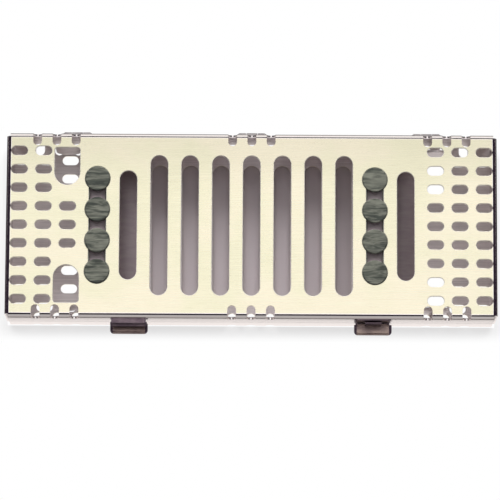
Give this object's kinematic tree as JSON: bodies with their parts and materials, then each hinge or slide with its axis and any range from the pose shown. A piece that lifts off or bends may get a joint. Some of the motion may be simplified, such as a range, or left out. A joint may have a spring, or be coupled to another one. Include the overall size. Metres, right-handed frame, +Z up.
{
  "type": "dental instrument cassette",
  "caption": "Flat pierced stainless steel box for hand instruments, hinged along the back and latched in front, with silicone rails buttoned through lobed slots.",
  "frame": {"origin": "under the middle of the whole closed part, on the surface it stands on", "axes": "+X along the instruments, +Y from the latches to the hinges, +Z up out of the lid"},
  "size_m": [0.2, 0.0838, 0.0232],
  "materials": {
    "shell_steel": "brushed along X, electropolished edges",
    "hinge_steel": "satin",
    "latch_steel": "satin, brownish heat tint",
    "silicone": "matt moulded silicone, dark green"
  },
  "bodies": {
    "base": {"base_shell": "shell_steel", "base_rail_left": "silicone", "base_rail_right": "silicone", "hinge_base_leaf_left": "hinge_steel", "hinge_base_leaf_center": "hinge_steel", "hinge_base_leaf_right": "hinge_steel", "hinge_pin_left": "hinge_steel", "hinge_pin_center": "hinge_steel", "hinge_pin_right": "hinge_steel", "latch_bracket_right": "latch_steel", "latch_pin_right": "latch_steel", "latch_keeper_left": "latch_steel"},
    "lid": {"lid_shell": "shell_steel", "lid_rail_left": "silicone", "lid_rail_right": "silicone", "hinge_lid_leaf_left": "hinge_steel", "hinge_lid_leaf_center": "hinge_steel", "hinge_lid_leaf_right": "hinge_steel", "latch_bracket_left": "latch_steel", "latch_pin_left": "latch_steel", "latch_keeper_right": "latch_steel"},
    "latch_left": {"latch_lever_left": "latch_steel"},
    "latch_right": {"latch_lever_right": "latch_steel"}
  },
  "joints": [
    {"name": "lid_hinge", "type": "hinge", "parent": "base", "child": "lid", "pos_m": [0, 0.04072, 0.0116], "axis": [-1, 0, 0], "range_deg": [0, 180]},
    {"name": "latch_left_pivot", "type": "hinge", "parent": "lid", "child": "latch_left", "pos_m": [-0.0497, -0.03868, 0.018], "axis": [-1, 0, 0], "range_deg": [0, 100]},
    {"name": "latch_right_pivot", "type": "hinge", "parent": "base", "child": "latch_right", "pos_m": [0.0497, -0.03868, 0.0052], "axis": [1, 0, 0], "range_deg": [0, 100]}
  ]
}
